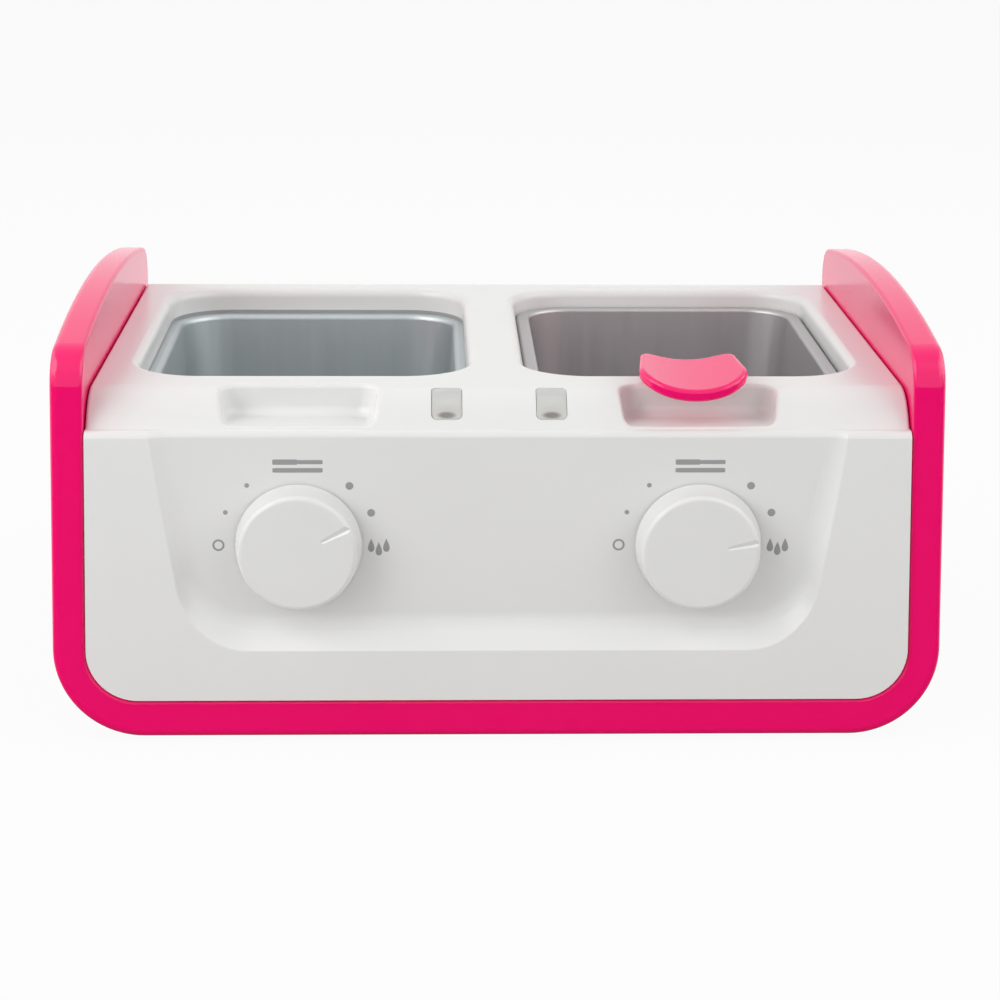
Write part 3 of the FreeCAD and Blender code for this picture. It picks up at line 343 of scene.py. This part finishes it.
knob_gap = 0.6 * mm
small_dot = 0.75 * mm
large_dot = 1.25 * mm
drop_width = 1.9 * mm
drop_height = 4.5 * mm
drop_step = 2.4 * mm
drop_sink = 1.2 * mm
bar_length = 15.7 * mm
bar_step = 2.65 * mm
bar_rise = 25.8 * mm - mark_radius
low_bar = 1.5 * mm
thick_bar = 1.75 * mm
thin_bar = 1.35 * mm
ring_radius = 1.6 * mm
ring_stroke = 0.65 * mm
large_angles = (24.8, 50.2)
small_angles = (129.2, 154.8)
marks = [on_dial(degrees, pillow(dot(large_dot))) for degrees in large_angles]
marks += [on_dial(degrees, pillow(dot(small_dot))) for degrees in small_angles]
marks += [on_dial(0, pillow(drop(drop_width, drop_height)), (step * drop_step, -sink * drop_sink))
          for step, sink in ((-1, 0), (0, 1), (1, 0))]
marks += [on_dial(90, pillow(bar(bar_length, low_bar)), (0, bar_rise - bar_step / 2)),
          on_dial(90, pillow(bar(bar_length / 2, thick_bar)), (-bar_length / 4, bar_rise + bar_step / 2)),
          on_dial(90, pillow(bar(bar_length / 2, thin_bar)), (bar_length / 4, bar_rise + bar_step / 2)),
          on_dial(180, hoop(ring_radius, ring_stroke))]
joints = {joint["name"]: joint for joint in frame["joints"]}
for side in ("left", "right"):
    centre = np.array(joints[side + "_dial_turn"]["pos_m"]) + (0.0, knob_gap, 0.0)
    printed = shells("dial_marks_" + side, centre + np.stack(marks), grey_ink, "housing")

# Dials: hollow white ABS knobs with a wedge-shaped pointer sunk in their face, pushed on the flat of a
# turned steel spindle.
dress(white_gloss, "knob_left", "knob_right")


def plated_steel(name, colour, grain, scale):
    """Zinc-plated steel: bright metal with fine lines along the axes whose scale is small."""
    made, shade = start_finish(name)
    line = shade.noise(grain, scale, 3.0)
    return end_finish(made, shade.node("BsdfPrincipled", {}, {
        "Base Color": shade.blend(line, tint(colour, 0.85), tint(colour, 1.1)),
        "Metallic": 1.0,
        "Roughness": 0.25 + line * 0.25,
        "Normal": shade.bump(line, 0.004 * mm),
    }))


turned_steel = plated_steel("turned_steel", (0.62, 0.62, 0.61), 0.4 * mm, (0.1, 1.0, 0.1))
dress(turned_steel, "spindle_left", "spindle_right")

# Thermostats: cream ceramic bodies that the spindles turn in. Each hangs on a plated strap, which two screws
# hold to bosses behind the front panel.
cream_ceramic = mottled("cream_ceramic", (0.55, 0.50, 0.40), (0.70, 0.65, 0.54), (0.35, 0.55), 0.8 * mm, 4.0,
                        relief=0.02 * mm)
dress(cream_ceramic, "thermostat_left", "thermostat_right")
sheet_steel = plated_steel("sheet_steel", (0.60, 0.61, 0.62), 0.6 * mm, (0.06, 1.0, 1.0))
dress(sheet_steel, "strap_left", "strap_right", "strap_screws")

# Top cover: a white ABS lid between the handles, screwed down from below on four posts, with a sloping
# front, two lipped openings and a finger scoop before each.
dress(white_gloss, "top_cover")
dress(sheet_steel, "base_screws")

# Lamp windows: frosted polycarbonate lenses snapped into the cover's front, over small neon lamps with
# pinkish glass that stand in nylon holders. The frost's colour carries a painted shadow of each lamp, a dark
# spot low in its window.
lens_low, lens_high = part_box("lens_right")
lens_size = lens_high - lens_low
spot_place = lens_low.x + 0.5 * lens_size.x
spot_height = lens_low.z + 0.3 * lens_size.z
spot_half_width = 0.26 * lens_size.x
spot_half_height = 0.12 * lens_size.z
spot_core = 0.1
spot_edge = 1.2
painted_shadow_depth = 0.75
painted_shadow_colour = (0.16, 0.12, 0.10)
# Painted shadow: the lens colour darkens to a spot low in each window, in place of the lamp's shade behind it.
made, shade = start_finish("frosted_lens")
frost = shade.noise(4 * mm)
across = (shade.maths("ABSOLUTE", shade.along("X")) - spot_place) * (1 / spot_half_width)
height = (shade.along("Z") - spot_height) * (1 / spot_half_height)
lamp_painted_shadow = shade.ramp(across * across + height * height, spot_core, spot_edge, painted_shadow_depth, 0.0)
clear = shade.blend(frost, tint((0.88, 0.88, 0.85)), tint((0.92, 0.92, 0.89)))
frosted_lens = end_finish(made, shade.node("BsdfPrincipled", {}, {
    "Base Color": shade.blend(lamp_painted_shadow, clear, tint(painted_shadow_colour)),
    "Roughness": 0.16 + frost * 0.06,
    "Normal": shade.bump(shade.noise(2 * mm), 0.002 * mm),
    "Transmission Weight": 0.45,
    "IOR": plastic_index,
}))
dress(frosted_lens, "lens_left", "lens_right")
neon_glass = mottled("neon_glass", (0.20, 0.10, 0.08), (0.32, 0.18, 0.14), (0.05, 0.1), 3 * mm, coat=0.5)
dress(neon_glass, "lamp_left", "lamp_right")
nylon = mottled("nylon", (0.50, 0.50, 0.47), (0.58, 0.58, 0.55), (0.45, 0.6), 4 * mm, relief=0.005 * mm,
                relief_grain=0.5 * mm)
dress(nylon, "lamp_holder_left", "lamp_holder_right")


# Wells: tubs deep-drawn from aluminium, with a satin skin that the drawing has streaked down the walls. Their
# flange is held up against a silicone seal under the cover's lip by plated clips.
def drawn_aluminium(name, colour):
    """Drawn aluminium under a thin matt skin: streaks 2.5 mm wide and a fine grain run down the walls."""
    made, shade = start_finish(name)
    streak = shade.noise(2.5 * mm, (1.0, 1.0, 0.04), 3.0)
    grain = shade.noise(0.3 * mm, (1.0, 1.0, 0.1))
    return end_finish(made, shade.node("BsdfPrincipled", {}, {
        "Base Color": shade.blend(streak, tint(colour, 0.95), tint(colour, 1.05)),
        "Metallic": 0.8,
        "Roughness": 0.38 + streak * 0.12,
        "Normal": shade.bump(grain, 0.001 * mm),
    }))


dress(drawn_aluminium("well_aluminium", (0.47, 0.51, 0.52)), "well_left", "well_right")
seal_silicone = mottled("seal_silicone", (0.30, 0.30, 0.30), (0.36, 0.36, 0.36), (0.5, 0.7), 5 * mm)
dress(seal_silicone, "seal_left", "seal_right")
dress(sheet_steel, "well_clips_left", "well_clips_right", "clip_screws", "well_studs", "stud_nuts")

# Heaters: mica plates wound with resistance tape, pressed under each well by an aluminised clamp plate on a
# stud, with a glazed thermal fuse below.
mica = mottled("mica", (0.30, 0.22, 0.12), (0.55, 0.45, 0.30), (0.3, 0.55), 2 * mm, 5.0, (1.0, 1.0, 6.0),
               relief=0.03 * mm)
dress(mica, "heater_left", "heater_right")
dress(cream_ceramic, "fuse_left", "fuse_right")
dress(sheet_steel, "clamp_left", "clamp_right")

# Shield: a rolled sheet of aluminised steel between the heaters and the wiring. Screws hold it down on four
# pillars of the cradle.
rolled_sheet = plated_steel("rolled_sheet", (0.66, 0.66, 0.67), 1.5 * mm, (1.0, 0.04, 1.0))
dress(rolled_sheet, "heat_shield")
dress(sheet_steel, "shield_screws")

# Wiring: copper in braided glass sleeves, from the terminal block behind the gland to the thermostats and
# heaters along the cradle's floor.
braided_sleeve = mottled("braided_sleeve", (0.42, 0.40, 0.36), (0.66, 0.64, 0.58), (0.6, 0.8), 0.9 * mm,
                         relief=0.08 * mm)
for run in ("live_wire_", "load_wire_", "neutral_wire_"):
    dress(braided_sleeve, run + "left", run + "right")
dress(nylon, "terminal_block")

# Pan: a lift-out aluminium tub, rolled over at its rim, which rests on the right well's flange. Its dished
# pink handle is riveted to the rim and hangs over the scoop.
# Painted reflection: the pan's aluminium colour has a faint pink tint standing in for its pink handle reflected in
# it.
dress(drawn_aluminium("pan_aluminium", (0.445, 0.43, 0.437)), "pan")
dress(pink_gloss, "pan_handle")
dress(turned_steel, "handle_rivets")

# Camera, floor and light: a white sweep under large soft boxes, seen as the photograph sees it. The backdrop
# is white to the camera, to gloss and through glass. To gloss the sweep is dim from the dials forwards.
camera_place = Vector((-0.022299, -0.843297, 0.294034))
camera_yaw = math.radians(1.723)
camera_pitch = math.radians(16.0)
camera_roll = math.radians(0.434)
camera_data = bpy.data.cameras.new("camera")
camera_data.sensor_width = 36.0
camera_data.lens = 89.26
camera = bpy.data.objects.new("camera", camera_data)
bpy.context.scene.collection.objects.link(camera)
ahead = Vector((math.sin(camera_yaw) * math.cos(camera_pitch),
                math.cos(camera_yaw) * math.cos(camera_pitch),
                -math.sin(camera_pitch)))
flat_right = Vector((math.cos(camera_yaw), -math.sin(camera_yaw), 0.0))
flat_up = flat_right.cross(ahead)
right = flat_right * math.cos(camera_roll) + flat_up * math.sin(camera_roll)
up = flat_up * math.cos(camera_roll) - flat_right * math.sin(camera_roll)
turn = Matrix((right, up, -ahead)).transposed().to_4x4()
camera.matrix_world = Matrix.Translation(camera_place) @ turn
bpy.context.scene.camera = camera

floor_half = 4.0
floor_mesh = bpy.data.meshes.new("floor")
floor_mesh.from_pydata([(-floor_half, -floor_half, 0), (floor_half, -floor_half, 0),
                        (floor_half, floor_half, 0), (-floor_half, floor_half, 0)], [], [(0, 1, 2, 3)])
floor = bpy.data.objects.new("floor", floor_mesh)
bpy.context.scene.collection.objects.link(floor)


def ray(shade, *kinds):
    """1 for rays of any of the kinds: what the camera sees, what gloss shows, or what glass lets through."""
    found = shade.node("LightPath", {}, {}, "Is " + kinds[0] + " Ray")
    for kind in kinds[1:]:
        found = shade.maths("MAXIMUM", found, shade.node("LightPath", {}, {}, "Is " + kind + " Ray"))
    return found


bright = (1.0, 1.0, 1.0, 1.0)
paper_white = (0.62, 0.62, 0.62)
dim_level = 0.02
glow_share = 0.945
dial_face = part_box("front_panel")[0].y
sweep_start = dial_face - 20 * mm
sweep_end = dial_face + 100 * mm
made, shade = start_finish("floor_white")
paper = shade.node("BsdfDiffuse", {}, {"Color": tint(paper_white)})
glow = shade.node("Emission", {}, {"Color": bright, "Strength": 1.0})
dim = shade.node("Emission", {}, {"Color": bright, "Strength": dim_level})
sweep = shade.ramp(shade.along("Y"), sweep_start, sweep_end, 0.0, 1.0)
shine = shade.node("MixShader", {}, {0: sweep, 1: dim, 2: glow})
lit = shade.node("MixShader", {}, {0: ray(shade, "Glossy"), 1: paper, 2: shine})
seen = ray(shade, "Camera", "Transmission") * glow_share
floor_mesh.materials.append(end_finish(made, shade.node("MixShader", {}, {0: seen, 1: lit, 2: glow})))

fill_level = 0.08
world = bpy.data.worlds.new("studio")
world.use_nodes = True
world.node_tree.nodes.clear()
shade = Shade(world.node_tree)
fill = shade.node("Background", {}, {"Color": bright, "Strength": fill_level})
backdrop = shade.node("Background", {}, {"Color": bright, "Strength": 1.0})
seen = ray(shade, "Camera", "Transmission", "Glossy")
around = shade.node("MixShader", {}, {0: seen, 1: fill, 2: backdrop})
shade.node("OutputWorld", {}, {"Surface": around})
bpy.context.scene.world = world
bpy.context.scene.view_settings.view_transform = "Standard"
lamp_target = Vector((0.0, 0.0, 0.08))


def soft_box(name, place, size, power, in_gloss=True):
    """Rectangular lamp at a place, turned to the heater. Gloss may show the backdrop in its place."""
    data = bpy.data.lights.new(name, "AREA")
    data.shape = "RECTANGLE"
    data.size, data.size_y = size
    data.energy = power
    lamp = bpy.data.objects.new(name, data)
    bpy.context.scene.collection.objects.link(lamp)
    lamp.visible_glossy = in_gloss
    lamp.location = place
    lamp.rotation_euler = (lamp_target - Vector(place)).to_track_quat("-Z", "Y").to_euler()


soft_box("back_box", (0.0, 0.8, 1.2), (1.6, 1.0), 6.4, False)
soft_box("front_top", (0.0, -0.8, 1.2), (1.6, 0.8), 2.6, False)
soft_box("left_top", (-1.0, -0.6, 1.0), (1.0, 1.0), 8.8)
soft_box("right_top", (1.0, -0.6, 1.0), (1.0, 1.0), 4.8)
soft_box("left_box", (-1.1, -1.2, 0.45), (1.2, 0.8), 6.4, False)
soft_box("right_box", (1.1, -1.2, 0.45), (1.2, 0.8), 4.2, False)
soft_box("left_wing", (-1.3, 0.1, 0.7), (1.2, 1.0), 4.2)
soft_box("right_wing", (1.3, 0.1, 0.7), (1.2, 1.0), 6.2)
